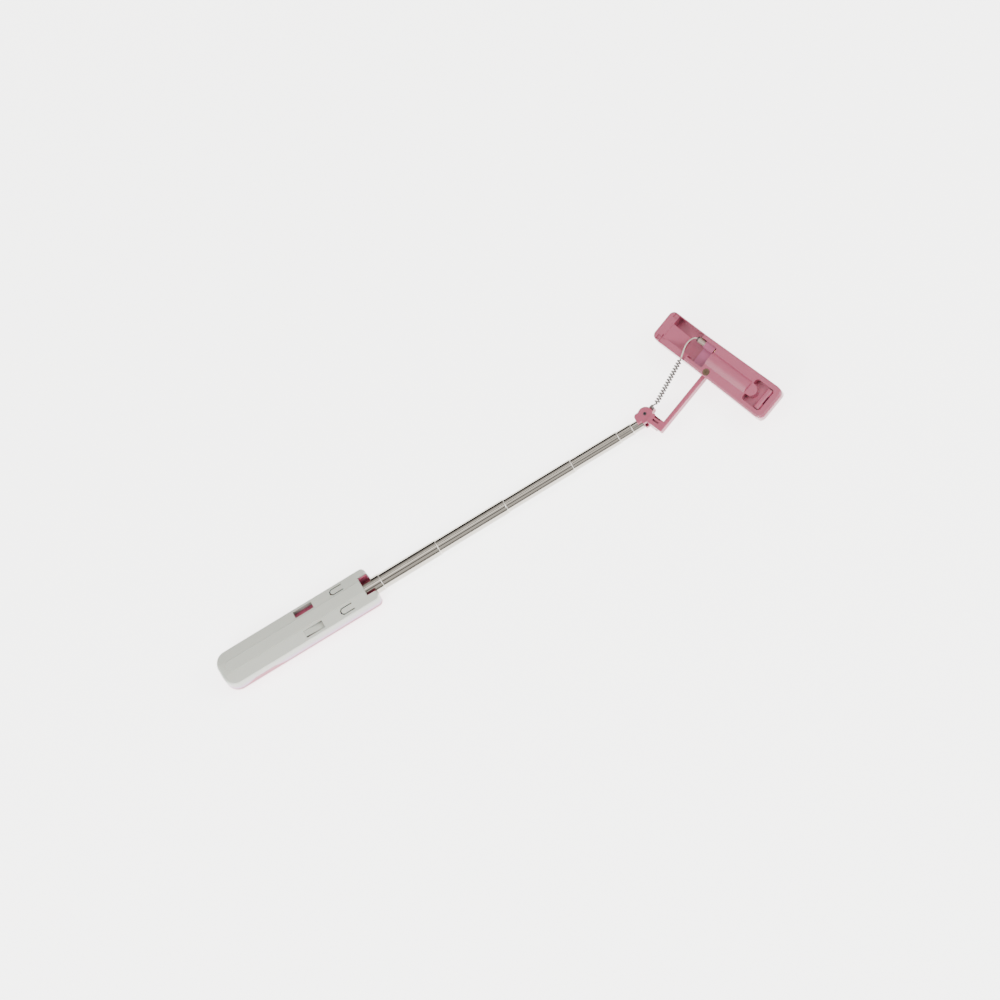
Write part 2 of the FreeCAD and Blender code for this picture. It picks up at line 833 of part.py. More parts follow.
def hinge_rivet():
    """The fold hinge's rivet, headed at both ends."""
    low = D.head_bottom - D.rivet_head_thick
    high = D.head_top + D.rivet_head_thick
    shank = cylinder("rivet_shank", D.rivet_radius, high - low, (pin_x, D.pin_side, low))
    cap_low = cylinder("rivet_low", D.rivet_head_radius, D.rivet_head_thick, (pin_x, D.pin_side, low))
    cap_high = cylinder(
        "rivet_high", D.rivet_head_radius, D.rivet_head_thick, (pin_x, D.pin_side, D.head_top)
    )
    drill = cylinder("rivet_drill", 0.8, 2, (pin_x, D.pin_side, high - 1.2))
    finish("hinge_rivet", cut("hinge_rivet", fuse("rivet_solid", [shank, cap_low, cap_high]), [drill]))


def fold_arm():
    """The pink cranked arm: hinge eye, foot, blade and the lug in the clamp."""
    part = Body("fold_arm")
    gap_low = D.head_bottom + D.ear_thick + D.hinge_gap
    gap_high = D.head_top - D.ear_thick - D.hinge_gap
    thick = gap_high - gap_low
    outer = D.arm_offset + D.arm_width / 2
    foot_top = -D.ear_radius - 0.5
    step_up = -D.arm_offset * 0.68
    root = rectangle((-D.foot_back, D.foot_front), (step_up, foot_top))
    part.pad("XY_Plane", gap_low, root, D.arm_high - gap_low)
    elbow = [
        (-D.foot_back, step_up + 1),
        (-D.foot_back, -outer + 0.8),
        (-D.foot_back + 0.8, -outer),
        (D.foot_front, -outer),
        (D.foot_front, step_up + 1),
    ]
    part.pad("XY_Plane", D.arm_low, elbow, D.arm_high - D.arm_low)
    web = rectangle((-D.eye_radius * 0.7, D.eye_radius * 0.7), (foot_top - 1, 0))
    part.pad("XY_Plane", gap_low, web, thick)
    nose = [(0, -1.9), (6.6, -1.7), (7.4, -1.2), (7.4, 1.4), (6.6, 1.9), (0, 1.9)]
    part.pad("XY_Plane", gap_low, nose, thick)
    eye = part.sketch("XY_Plane", gap_low)
    part.circle(eye, (0, 0), D.eye_radius)
    part.feature("Pad", eye, thick, False, False)
    blade_end = D.screw_reach + D.screw_across - D.clamp_width / 2 + 0.3
    blade = rectangle(
        (0, blade_end), (-outer, -D.arm_offset + D.arm_width / 2)
    )
    part.pad("XY_Plane", D.arm_low, blade, D.arm_high - D.arm_low)
    lug = rectangle((blade_end - 0.01, D.screw_reach + 3), (-D.screw_offset - 3, -D.screw_offset + 3))
    lug_low = D.clamp_front + D.tray_floor + 0.4
    part.pad("XY_Plane", lug_low, lug, D.arm_high - lug_low)
    bore = [((0, 0), D.rivet_radius + BORE_GAP)]
    part.pocket("XY_Plane", 0, bore, THROUGH * 2, reverse=True)
    screw = [((D.screw_reach, -D.screw_offset), D.screw_radius * 0.85)]
    part.pocket("XY_Plane", 0, screw, THROUGH * 2, reverse=True)
    for x in (-0.9, 1.6):
        slot = rectangle((x, x + 1.3), (-D.arm_offset + 3.4, foot_top - 2.6))
        part.pocket("XY_Plane", D.arm_high - 2.2, [slot], 10, reverse=True)
    lead_hole = [((0.2, D.axis_height), D.lead_diameter / 2)]
    part.pocket("YZ_Plane", 2.6, lead_hole, 10, reverse=True)

    def long_edge(edge):
        flat = near(edge.BoundBox.ZMin, D.arm_high) and near(edge.BoundBox.ZMax, D.arm_high)
        return flat and edge.Length > 20

    part.round(0.7, long_edge)
    finish(part.name, part.done(), ARM)


def arm_screw():
    """The screw that ties the arm to the clamp, in the clamp frame."""
    spot = (D.screw_along, -D.screw_across)
    seat = D.clamp_back - 0.9
    shank = cylinder("arm_screw_shank", D.screw_radius * 0.85 - 0.02, 6.5, (*spot, seat - 6.5))
    head = cylinder("arm_screw_head", D.screw_head_radius - 0.1, 1.1, (*spot, seat))
    slot_a = box(
        "arm_screw_slot_a",
        (D.screw_along - 1.3, D.screw_along + 1.3),
        (-D.screw_across - 0.25, -D.screw_across + 0.25),
        (seat + 0.5, seat + 2),
    )
    slot_b = box(
        "arm_screw_slot_b",
        (D.screw_along - 0.25, D.screw_along + 0.25),
        (-D.screw_across - 1.3, -D.screw_across + 1.3),
        (seat + 0.5, seat + 2),
    )
    solid = fuse("arm_screw_solid", [shank, head])
    finish("arm_screw", cut("arm_screw", solid, [slot_a, slot_b]), CLAMP)


# ---------------------------------------------------------------- clamp

half_clamp = D.clamp_width / 2
wide_clamp = half_clamp + D.clamp_flare / 2
flare_x = D.clamp_length - 6
body_end = D.clamp_length


def clamp_housing():
    """Pink back housing: tapered box, guide arms, spine and end pocket."""
    part = Body("clamp_housing")
    outline = [
        (D.guide_from_end, -half_clamp),
        (flare_x, -wide_clamp),
        (body_end, -wide_clamp + 1),
        (body_end, wide_clamp - 1),
        (flare_x, wide_clamp),
        (D.guide_from_end, half_clamp),
    ]
    part.pad("XY_Plane", D.clamp_front, outline, D.clamp_back - D.clamp_front)
    ends = [(body_end, -wide_clamp + 1), (body_end, wide_clamp - 1)]
    part.round(4.5, upright_at(ends))

    def back_rim(edge):
        return near(edge.BoundBox.ZMin, D.clamp_back) and edge.CenterOfMass.x > float(D.guide_from_end) + 1

    part.round(1.6, back_rim)

    def front_rim(edge):
        return near(edge.BoundBox.ZMax, D.clamp_front) and edge.CenterOfMass.x > float(D.guide_from_end) + 1

    part.round(D.clamp_lower_edge, front_rim, "Chamfer")
    slope = [
        (body_end - D.clamp_end_slope - 1, D.clamp_front - 1),
        (body_end + 1, D.clamp_front - 1),
        (body_end + 1, D.clamp_front + D.clamp_end_slope + 1),
    ]
    part.pocket("XZ_Plane", 0, [slope], D.clamp_width * 2, both=True)
    half_spine = D.spine_width / 2 + 0.6
    rise = D.clamp_spine_rise
    crown = (half_spine * half_spine + rise * rise) / (rise * 2)
    spine = part.sketch("YZ_Plane", D.roof_from_end)
    part.circle(spine, (0, D.clamp_back + rise - crown), crown)
    cavity_end = D.pocket_from_end - 1
    part.feature("Pad", spine, cavity_end - D.roof_from_end, False, False)
    wall = D.clamp_wall
    inside = half_clamp - D.guide_wall
    cavity = rectangle((D.guide_from_end - 1, cavity_end), (-inside, inside))
    roof = D.clamp_back - wall
    below = D.clamp_front - 12
    part.pocket("XY_Plane", below, [cavity], roof - below, reverse=True)
    under = rectangle((cavity_end - 1, body_end - 6), (-inside, inside))
    shelf = D.clamp_back - D.pocket_depth - wall
    part.pocket("XY_Plane", D.clamp_front - 1, [under], shelf - D.clamp_front + 1, reverse=True)
    door_width = D.arm_width / 2 + 3
    boss = rectangle(
        (D.screw_along - door_width, D.screw_along + door_width), (-half_clamp + 1, -D.screw_across + 3.2)
    )
    boss_low = D.arm_high + 0.15
    part.pad("XY_Plane", boss_low, boss, D.clamp_back - 0.5 - boss_low)
    notch = rectangle((D.guide_from_end - 1, D.roof_from_end), (-inside + 0.4, inside - 0.4))
    part.pocket("XY_Plane", roof - 1, [notch], 10, reverse=True)
    part.round(1.2, upright_at([(D.roof_from_end, -inside + 0.4), (D.roof_from_end, inside - 0.4)]))
    reach = D.thumb_radius
    left = D.pocket_from_end
    right = left + D.pocket_length
    well = [
        (left, -inside),
        (right, -inside),
        (right, inside),
        (left, inside),
        (left, reach),
        (left + reach * 0.75, reach * 0.92),
        (left + reach * 1.25, reach * 0.5),
        (left + reach * 1.4, 0),
        (left + reach * 1.25, -reach * 0.5),
        (left + reach * 0.75, -reach * 0.92),
        (left, -reach),
    ]
    floor = D.clamp_back - D.pocket_depth
    part.pocket("XY_Plane", floor, [well], THROUGH, reverse=True)
    part.round(2.2, upright_at([(left, -inside), (left, inside), (right, -inside), (right, inside)]))
    bar_start = left + D.pocket_length * 0.62
    bar = rectangle((bar_start, right - 1), (-inside + 0.8, inside - 0.8))
    part.pad("XY_Plane", floor - 0.1, bar, D.pocket_depth - 0.9)

    def bar_edge(edge):
        high = near(edge.BoundBox.ZMin, floor - 1 + D.pocket_depth)
        return high and edge.BoundBox.YLength > 5 and edge.CenterOfMass.x < float(right)

    part.round(1.6, bar_edge)
    slit = rectangle((right - 1.8, right - 0.4), (-reach * 0.7, reach * 0.7))
    part.pocket("XY_Plane", floor - 1.2, [slit], THROUGH, reverse=True)
    for x, y in plate_screw_spots():
        part.pocket("XY_Plane", D.clamp_front - 1, [((x, y), SCREW_HOLE)], 5, reverse=True)
    spot = (D.screw_along, -D.screw_across)
    part.pocket("XY_Plane", D.clamp_front - 1, [(spot, D.screw_radius)], THROUGH * 2, reverse=True)
    part.pocket("XY_Plane", D.clamp_back - 0.9, [(spot, D.screw_head_radius)], 10, reverse=True)
    door = rectangle(
        (D.screw_along - door_width, D.screw_along + door_width), (D.arm_low - 0.15, boss_low)
    )
    part.pocket("XZ_Plane", inside - 0.2, [door], 6, reverse=True)
    finish(part.name, part.done(), CLAMP)


def front_plate():
    """The clamp's front: the face that the phone lies on, and the fixed jaw."""
    part = Body("clamp_front_plate")
    low = D.clamp_front - D.plate_thick
    inset = D.clamp_lower_edge + 0.2
    outline = [
        (D.guide_from_end, -half_clamp + inset),
        (flare_x, -wide_clamp + inset),
        (body_end - D.clamp_end_slope - 0.2, -wide_clamp + inset + 2),
        (body_end - D.clamp_end_slope - 0.2, wide_clamp - inset - 2),
        (flare_x, wide_clamp - inset),
        (D.guide_from_end, half_clamp - inset),
    ]
    part.pad("XY_Plane", low, outline, D.plate_thick)
    face = D.fixed_jaw_from_end
    jaw = rectangle((face, face + D.jaw_thick), (-D.jaw_half_width, D.jaw_half_width))
    part.pad("XY_Plane", 0, jaw, D.clamp_front)
    hook = rectangle((face - D.lip_reach, face + 1), (-D.jaw_half_width, D.jaw_half_width))
    part.pad("XY_Plane", 0, hook, D.lip_thick)

    def foot_edge(edge):
        return near(edge.BoundBox.ZMax, 0) and near(edge.BoundBox.XMin, face + D.jaw_thick)

    part.round(1.5, foot_edge)
    for x, y in plate_screw_spots():
        part.pocket("XY_Plane", low - 1, [((x, y), SCREW_HOLE)], 5, reverse=True)
        part.pocket("XY_Plane", low - 1, [((x, y), 1.2)], 1.9, reverse=True)
    finish(part.name, part.done(), CLAMP)


def plate_screw_spots():
    """Where the four screws hold the front plate to the housing's rim."""
    near_x = D.roof_from_end + 16
    far_x = D.pocket_from_end + 10
    across = half_clamp - D.guide_wall / 2
    return [(near_x, across), (near_x, -across), (far_x, across), (far_x, -across)]


def plate_screws():
    """Four small screws in one node."""
    screws = []
    low = D.clamp_front - D.plate_thick
    for index, (x, y) in enumerate(plate_screw_spots()):
        head = cylinder(f"plate_screw_head{index}", 1.15, 0.75, (x, y, low + 0.1))
        shank = cylinder(f"plate_screw_shank{index}", 0.7, 4.2, (x, y, low + 0.5))
        screws.append(fuse(f"plate_screw{index}", [head, shank]))
    group = doc.addObject("Part::Compound", "plate_screws")
    group.Links = screws
    finish("plate_screws", group, CLAMP)


def clamp_slider():
    """The sliding tray with the moving jaw; its tongue runs in the housing."""
    part = Body("clamp_slider")
    play = D.slide_play
    end = D.guide_from_end - 0.1
    head = rectangle((0, end), (-half_clamp, half_clamp))
    part.pad("XY_Plane", D.clamp_front, head, D.clamp_back - D.clamp_front - 0.2)
    part.round(4.0, upright_at([(0, -half_clamp), (0, half_clamp)]))

    def back_rim(edge):
        return edge.BoundBox.ZMin > float(D.clamp_back) - 0.3 and edge.CenterOfMass.x < float(end) - 0.1

    part.round(1.2, back_rim)
    inside = half_clamp - D.clamp_wall
    ledge = D.clamp_wall + 3.2
    tongue_half = half_clamp - D.guide_wall - play
    trough = [
        (D.tray_end, -half_clamp + ledge),
        (end + 1, -half_clamp + ledge),
        (end + 1, inside + 0.6),
        (D.tray_end, inside + 0.6),
    ]
    floor = D.clamp_front + D.tray_floor
    part.pocket("XY_Plane", floor, [trough], THROUGH, reverse=True)
    side = rectangle((D.tray_end - 1.2, end + 1), (-half_clamp - 1, -half_clamp + ledge + 1))
    part.pocket("XY_Plane", D.clamp_back - 1.8, [side], THROUGH, reverse=True)
    panel_top = D.clamp_back - 0.6
    panel_end = D.tray_end + D.panel_length
    panel = [
        (D.tray_end - 0.5, floor - 0.2),
        (D.tray_end - 0.5, panel_top),
        (D.tray_end, panel_top),
        (panel_end, floor),
        (panel_end, floor - 0.2),
    ]
    part.pad("XZ_Plane", -D.panel_side, panel, D.panel_side + half_clamp - ledge + 0.5)
    tongue = rectangle((D.tray_end + 3, D.tongue_end), (-tongue_half, tongue_half))
    part.pad("XY_Plane", D.clamp_front + play, tongue, D.tray_floor - play)
    groove = rectangle((panel_end - 1, D.guide_from_end + 7), (-D.panel_side - 1, D.panel_side / 2))
    part.pocket("XY_Plane", floor - 0.7, [groove], 5, reverse=True)
    for across in (-8.9, 8.9):
        mark = rectangle((3.4, 6.6), (across - 1.5, across + 1.5))
        part.pocket("XY_Plane", D.clamp_back - 1.2, [mark], 5, reverse=True)
    face = D.moving_jaw_from_end + D.jaw_thick
    jaw = rectangle((face - D.jaw_thick, face), (-D.jaw_half_width, D.jaw_half_width))
    part.pad("XY_Plane", 0, jaw, D.clamp_front + 1)
    hook = rectangle((face - 1, face + D.lip_reach), (-D.jaw_half_width, D.jaw_half_width))
    part.pad("XY_Plane", 0, hook, D.lip_thick)

    def foot_edge(edge):
        return near(edge.BoundBox.ZMax, 0) and near(edge.BoundBox.XMax, face - D.jaw_thick)

    part.round(1.5, foot_edge)
    finish(part.name, part.done(), CLAMP)


def jaw_pads():
    """Rubber pads on the two jaw faces."""
    across = (-D.jaw_half_width + 1, D.jaw_half_width - 1)
    height = (D.lip_thick + 0.1, D.clamp_front - D.plate_thick - 0.3)
    moving = D.moving_jaw_from_end + D.jaw_thick
    fixed = D.fixed_jaw_from_end
    finish("moving_jaw_pad", box("moving_pad_block", (moving, moving + D.pad_thick), across, height), CLAMP)
    finish("fixed_jaw_pad", box("fixed_pad_block", (fixed - D.pad_thick, fixed), across, height), CLAMP)


def jaw_springs():
    """Two pull springs from the slider's tongue to the housing's end wall."""
    start = D.tongue_end + 0.05
    length = body_end - 6 - start - 0.05
    for name, across in (("jaw_spring_left", D.spring_across), ("jaw_spring_right", -D.spring_across)):
        spot = (start, across, D.spring_level)
        outer = cylinder(name + "_outer", D.spring_radius, length, spot, "X")
        inner = cylinder(name + "_inner", D.spring_radius - D.spring_wire, length, spot, "X")
        finish(name, cut(name, outer, [inner]), CLAMP)


plug_across = half_clamp - D.guide_wall - D.plug_radius - D.plug_gap


def plug_dock():
    """The cross block in the housing's mouth that parks the plug."""
    start = D.plug_from_end + D.plug_length + 0.05
    inside = half_clamp - D.guide_wall - 0.02
    post_side = inside - 0.43
    block = box(
        "dock_block", (start, start + D.dock_length), (-inside, inside),
        (D.clamp_front + D.tray_floor + 0.4, D.plug_level - 1.2),
    )
    post = box(
        "dock_post", (start, start + D.dock_length), (plug_across - 2.6, post_side),
        (D.plug_level - 2, D.plug_level + 2.4),
    )
    bore = cylinder(
        "dock_bore", D.tip_radius + D.tip_play, D.dock_length + 2,
        (start - 1, plug_across, D.plug_level), "X",
    )
    finish("plug_dock", cut("plug_dock", fuse("dock_solid", [block, post]), [bore]), CLAMP)


def plug():
    """The 3.5 mm plug: collar, moulded body and metal tip."""
    start = D.plug_from_end
    spot = (start, plug_across, D.plug_level)
    rear = (start - D.plug_collar, plug_across, D.plug_level)
    finish("plug_collar", cylinder("collar_rod", 1.75, D.plug_collar, rear, "X"), CLAMP)
    grip = cone("plug_grip", D.plug_radius, D.plug_radius - 0.15, D.plug_length, spot, "X")
    finish("plug_body", grip, CLAMP)
    front = (start + D.plug_length, plug_across, D.plug_level)
    rod = cylinder("tip_rod", D.tip_radius, D.tip_length - 3.2, front, "X")
    neck_at = (start + D.plug_length + D.tip_length - 3.2, plug_across, D.plug_level)
    neck = cylinder("tip_neck", D.tip_radius * 0.72, 1.2, neck_at, "X")
    nose_at = (start + D.plug_length + D.tip_length - 2.2, plug_across, D.plug_level)
    nose = cone("tip_nose", D.tip_radius, D.tip_radius * 0.4, 2.2, nose_at, "X")
    finish("plug_tip", fuse("plug_tip", [rod, neck, nose]), CLAMP)


def cord_gland():
    """The rubber gland on the arm's nose; the lead leaves it upward."""
    low = D.head_top - D.ear_thick - D.hinge_gap
    base = box("gland_base", (5.7, 7.4), (-1.6, 1.6), (low, low + 0.9))
    sleeve = cone("gland_sleeve", 1.3, 0.8, 1.6, (6.55, 0, low + 0.5))
    hole = cylinder("gland_hole", D.lead_diameter / 2, 4, (6.55, 0, low + 0.7))
    finish("cord_gland", cut("cord_gland", fuse("gland_solid", [base, sleeve]), [hole]), ARM)


# ---------------------------------------------------------------- lead

GLAND_TOP = 12.2
COIL_START = (8.2, -3.2, 17.4)
COIL_END = (42.4, 0.9, 24.4)
LEAD_POINTS = [(6.55, 0, GLAND_TOP), (6.55, 0, 17.2), COIL_START]
TAIL_POINTS = [COIL_END, (45.4, 1.8, 25.2), (53.0, 5.2, 24.0), (60.5, 5.0, 19.6), (60.5, 2.4, 19.6)]


def cord_wire(points):
    """Straight runs joined by tangent arcs, with the arcs' radii."""
    spots = [FreeCAD.Vector(*point) for point in points]
    edges = []
    radii = []
    start = spots[0]
    for before, corner, after in zip(spots, spots[1:], spots[2:]):
        back = before - corner
        ahead = after - corner
        shorter = min(back.Length, ahead.Length)
        half_turn = (math.pi - back.getAngle(ahead)) / 2
        reach_back = 0.45 * shorter
        radii.append(reach_back / math.tan(half_turn))
        back.normalize()
        ahead.normalize()
        enter = corner + back * reach_back
        leave = corner + ahead * reach_back
        centre_way = (back + ahead).normalize()
        centre = corner + centre_way * (reach_back / math.sin(half_turn))
        middle = centre - centre_way * radii[-1]
        edges.append(Part.makeLine(start, enter))
        edges.append(Part.Arc(enter, middle, leave).toShape())
        start = leave
    edges.append(Part.makeLine(start, spots[-1]))
    return Part.Wire(edges), radii


def cord_tube(name, points, diameter):
    """A round tube along the route, checked against section times length."""
    wire, radii = cord_wire(points)
    way = wire.Edges[0].tangentAt(wire.Edges[0].FirstParameter)
    ring = Part.Wire([Part.makeCircle(diameter / 2, FreeCAD.Vector(*points[0]), way)])
    shape = wire.makePipeShell([ring], True, False)
    wanted = math.pi * diameter ** 2 / 4 * wire.Length
    print(name, "length", round(wire.Length, 2), "radii", [round(radius, 2) for radius in radii])
    if abs(shape.Volume / wanted - 1) > 0.01:
        raise RuntimeError(f"{name}: volume {shape.Volume} is not {wanted}")
    tube = doc.addObject("Part::Feature", name)
    tube.Shape = shape
    finish(name, tube, ARM)


def cord():
    """The thin lead, the curly part's outer shape and the thin tail."""
    cord_tube("cord_lead", LEAD_POINTS, D.lead_diameter.number)
    cord_tube("cord_coil", [COIL_START, COIL_END], D.coil_diameter.number)
    cord_tube("cord_tail", TAIL_POINTS, D.lead_diameter.number)


front_cover()
back_shell()
shutter_parts()
pole_fixings()
for number in range(len(tube_ends)):
    pole_tube(number)
    if number > 0:
        slide_bush(number)
pole_head()
hinge_rivet()
fold_arm()
arm_screw()
clamp_housing()
front_plate()
plate_screws()
clamp_slider()
jaw_pads()
jaw_springs()
plug_dock()
plug()
cord_gland()
cord()

doc.recompute()
faults = []
for thing in doc.Objects:
    if "Invalid" in thing.State or "Error" in thing.State:
        faults.append(f"{thing.Name}: {thing.State}")
for part in subparts:
    if part.Shape.isNull() or not part.Shape.isValid():
        faults.append(f"{part.Label}: shape is null or not valid")
if faults:
    raise RuntimeError("; ".join(faults))
os.makedirs("parts", exist_ok=True)
for part in subparts:
    part.Shape.exportStep(f"parts/{part.Label}.step")
    print(part.Label, len(part.Shape.Solids), round(part.Shape.Volume, 1))
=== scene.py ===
"""Looks of a folding selfie stick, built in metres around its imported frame."""

import json
import logging
import math
from dataclasses import dataclass
from enum import Enum
from typing import Iterable, Optional, Sequence

import bmesh
import bpy
from mathutils import Matrix, Vector


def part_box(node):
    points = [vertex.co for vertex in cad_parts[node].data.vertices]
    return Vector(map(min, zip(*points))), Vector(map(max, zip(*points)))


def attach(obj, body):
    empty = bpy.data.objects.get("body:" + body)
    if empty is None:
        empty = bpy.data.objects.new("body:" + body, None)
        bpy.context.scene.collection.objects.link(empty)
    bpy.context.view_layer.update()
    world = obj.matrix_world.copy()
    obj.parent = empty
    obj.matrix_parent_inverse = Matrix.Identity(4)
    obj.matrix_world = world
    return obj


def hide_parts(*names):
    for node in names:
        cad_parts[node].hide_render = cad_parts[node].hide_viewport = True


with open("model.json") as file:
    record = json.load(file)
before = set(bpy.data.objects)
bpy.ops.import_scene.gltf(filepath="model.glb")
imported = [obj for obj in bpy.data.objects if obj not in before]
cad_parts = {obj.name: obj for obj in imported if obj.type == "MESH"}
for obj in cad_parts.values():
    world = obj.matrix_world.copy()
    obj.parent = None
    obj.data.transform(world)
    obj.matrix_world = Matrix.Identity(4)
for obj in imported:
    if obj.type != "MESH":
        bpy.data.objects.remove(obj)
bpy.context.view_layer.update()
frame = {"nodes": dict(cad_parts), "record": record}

LOG = logging.getLogger("selfie_stick")
MM = 0.001


class Axis(Enum):
    """The object coordinate that a pattern or a fade runs along."""

    X = 0
    Y = 1
    Z = 2


# ------------------------------------------------------------------ nodes


def linear(colour: str) -> tuple[float, float, float, float]:
    """Turn an sRGB hex value into linear light.

    Args:
        colour: six hex digits after a hash sign.

    Returns:
        Red, green, blue and a full alpha.
    """
    parts = []
    for start in (1, 3, 5):
        value = int(colour[start:start + 2], 16) / 255
        parts.append(value / 12.92 if value <= 0.04045 else ((value + 0.055) / 1.055) ** 2.4)
    return (*parts, 1.0)


def add(
    tree: bpy.types.NodeTree,
    kind: str,
    settings: Optional[dict] = None,
    **links: object,
) -> bpy.types.Node:
    """Add a node with its settings, values and links.

    Args:
        tree: the node tree.
        kind: the node's type name.
        settings: properties of the node itself.
        **links: input name or index (as in_3) to a socket or a value.

    Returns:
        The new node.
    """
    node = tree.nodes.new(kind)
    for name, value in (settings or {}).items():
        setattr(node, name, value)
    for name, value in links.items():
        key = int(name[3:]) if name.startswith("in_") else name.replace("_", " ")
        socket = node.inputs[key]
        if isinstance(value, bpy.types.NodeSocket):
            tree.links.new(value, socket)
        else:
            socket.default_value = value
    return node


# --------------------------------------------------------------- finishes


@dataclass(frozen=True)
class Finish:
    """A procedural material: its base, its mottling and its surface grain.

    Sizes are in millimetres; colours are sRGB hex values.
    """

    name: str
    colour: str
    shade: str
    roughness: float
    metallic: float = 0.0
    coat: float = 0.0
    coat_roughness: float = 0.08
    subsurface: float = 0.0
    mottle_mm: float = 14.0
    grain_mm: float = 0.35
    grain_depth: float = 0.02
    fade_axis: Optional[Axis] = None
    fade_colour: str = "#FFFFFF"
    fade_from_mm: float = 0.0
    fade_to_mm: float = 1.0
    roughness_spread: float = 0.03
    glow: float = 0.0

    def material(self) -> bpy.types.Material:
        """Build the material.

        Returns:
            A material that reads Object coordinates.
        """
        material = bpy.data.materials.new(self.name)
        material.use_nodes = True
        tree = material.node_tree
        tree.nodes.clear()
        place = add(tree, "ShaderNodeTexCoord").outputs["Object"]
        mottle = add(
            tree, "ShaderNodeTexNoise", Vector=place,
            Scale=1 / (self.mottle_mm * MM), Detail=3.0, Roughness=0.55,
        )
        tint = add(
            tree, "ShaderNodeMix", {"data_type": "RGBA"},
            in_0=mottle.outputs["Fac"], in_6=linear(self.colour), in_7=linear(self.shade),
        ).outputs[2]
        if self.fade_axis is not None:
            tint = self._fade(tree, place, tint)
        grain = add(
            tree, "ShaderNodeTexNoise", Vector=place,
            Scale=1 / (self.grain_mm * MM), Detail=2.0, Roughness=0.6,
        )
        polish = add(
            tree, "ShaderNodeMapRange", Value=mottle.outputs["Fac"],
            To_Min=max(self.roughness - self.roughness_spread, 0.02),
            To_Max=self.roughness + self.roughness_spread,
        )
        bump = add(
            tree, "ShaderNodeBump", Height=grain.outputs["Fac"],
            Distance=self.grain_depth * MM, Strength=1.0,
        )
        shader = add(
            tree, "ShaderNodeBsdfPrincipled", Base_Color=tint, Metallic=self.metallic,
            Roughness=polish.outputs["Result"], Normal=bump.outputs["Normal"],
            Coat_Weight=self.coat, Coat_Roughness=self.coat_roughness,
            Subsurface_Weight=self.subsurface, Subsurface_Scale=2 * MM,
            Emission_Color=tint, Emission_Strength=self.glow,
        )
        add(tree, "ShaderNodeOutputMaterial", Surface=shader.outputs["BSDF"])
        return material

    def _fade(
        self,
        tree: bpy.types.NodeTree,
        place: bpy.types.NodeSocket,
        tint: bpy.types.NodeSocket,
    ) -> bpy.types.NodeSocket:
        """Blend the tint into the fade colour along one axis.

        Args:
            tree: the material's tree.
            place: the coordinates to read.
            tint: the colour to blend from.

        Returns:
            The blended colour.
        """
        split = add(tree, "ShaderNodeSeparateXYZ", Vector=place)
        fall = add(
            tree, "ShaderNodeMapRange", {"interpolation_type": "SMOOTHSTEP"},
            Value=split.outputs[self.fade_axis.value],
            From_Min=self.fade_from_mm * MM, From_Max=self.fade_to_mm * MM,
        )
        return add(
            tree, "ShaderNodeMix", {"data_type": "RGBA"},
            in_0=fall.outputs["Result"], in_6=tint, in_7=linear(self.fade_colour),
        ).outputs[2]


# ABS, moulded against a lightly blasted tool: soft broad highlights; the
# lower edge carries a painted lilac reflection of the pink half below it.
WHITE_ABS = Finish(
    "white_abs", "#B5B7AF", "#ABAEA5", 0.34, coat=0.15, coat_roughness=0.25,
    mottle_mm=22, grain_mm=0.5, grain_depth=0.012, subsurface=0.05,
    fade_axis=Axis.Z, fade_colour="#B79AB8", fade_from_mm=13.0, fade_to_mm=8.0,
)
# The same ABS dyed pink: a dense, slightly milky colour.
PINK_ABS = Finish(
    "pink_abs", "#A44A63", "#98415A", 0.34, coat=0.2, coat_roughness=0.2,
    mottle_mm=16, grain_mm=0.5, grain_depth=0.012, subsurface=0.08,
)
# Pink ABS from a polished tool: sharper, wetter highlights on the clamp.
GLOSS_PINK_ABS = Finish(
    "gloss_pink_abs", "#A6546A", "#994960", 0.26, coat=0.45, coat_roughness=0.1,
    mottle_mm=12, grain_mm=0.8, grain_depth=0.01, subsurface=0.08,
)
# Darker pink for the deep recesses: painted shade, standing in for the little light that reaches
# them.
SHADED_PINK_ABS = Finish(
    "shaded_pink_abs", "#7E2440", "#701D38", 0.4, mottle_mm=10, grain_depth=0.01,
)
# The dock: the same pink plastic, tinted bluer as a painted lilac reflection on its gloss.
LILAC_SHEEN_ABS = Finish(
    "lilac_sheen_abs", "#A25072", "#954766", 0.3, coat=0.3, coat_roughness=0.12,
    mottle_mm=8, grain_depth=0.01, subsurface=0.08,
)
# Acetal: a black, waxy, low-friction plastic.
BLACK_ACETAL = Finish(
    "black_acetal", "#26262A", "#1D1D20", 0.42, mottle_mm=8, grain_depth=0.01,
)
# Glass-fibre board under green solder mask.
GREEN_BOARD = Finish(
    "solder_mask", "#2C6B45", "#235A39", 0.3, coat=0.3, mottle_mm=4, grain_depth=0.005,
)
# Drawn stainless tube, chrome bright, with a faint run of drawing lines.
BRIGHT_TUBE = Finish(
    "drawn_bright_tube", "#B3AEA6", "#A8A299", 0.1, metallic=1.0,
    mottle_mm=30, grain_mm=0.3, grain_depth=0.0012, roughness_spread=0.03,
)
# The rolled bead at a tube's mouth, coloured lighter than the tube as a painted highlight.
BEAD_PAINTED_HIGHLIGHT = Finish(
    "bead_painted_highlight", "#DCD9D3", "#D0CCC5", 0.3, metallic=1.0,
    mottle_mm=6, grain_depth=0.001, roughness_spread=0.05,
)
# Plain carbon steel wire and screws under clear zinc.
ZINC_STEEL = Finish(
    "zinc_steel", "#A9ABAF", "#96989C", 0.28, metallic=1.0, mottle_mm=3, grain_depth=0.004,
)
# A bronze-washed screw: warm, a little worn.
BRONZE = Finish(
    "bronze_wash", "#7A6656", "#5A4A3E", 0.38, metallic=1.0, mottle_mm=1.2, grain_depth=0.006,
)
# Moulded silicone rubber: matt and grippy.
PAD_RUBBER = Finish(
    "pad_rubber", "#5C4A50", "#514147", 0.7, mottle_mm=5, grain_mm=0.25, grain_depth=0.03,
)
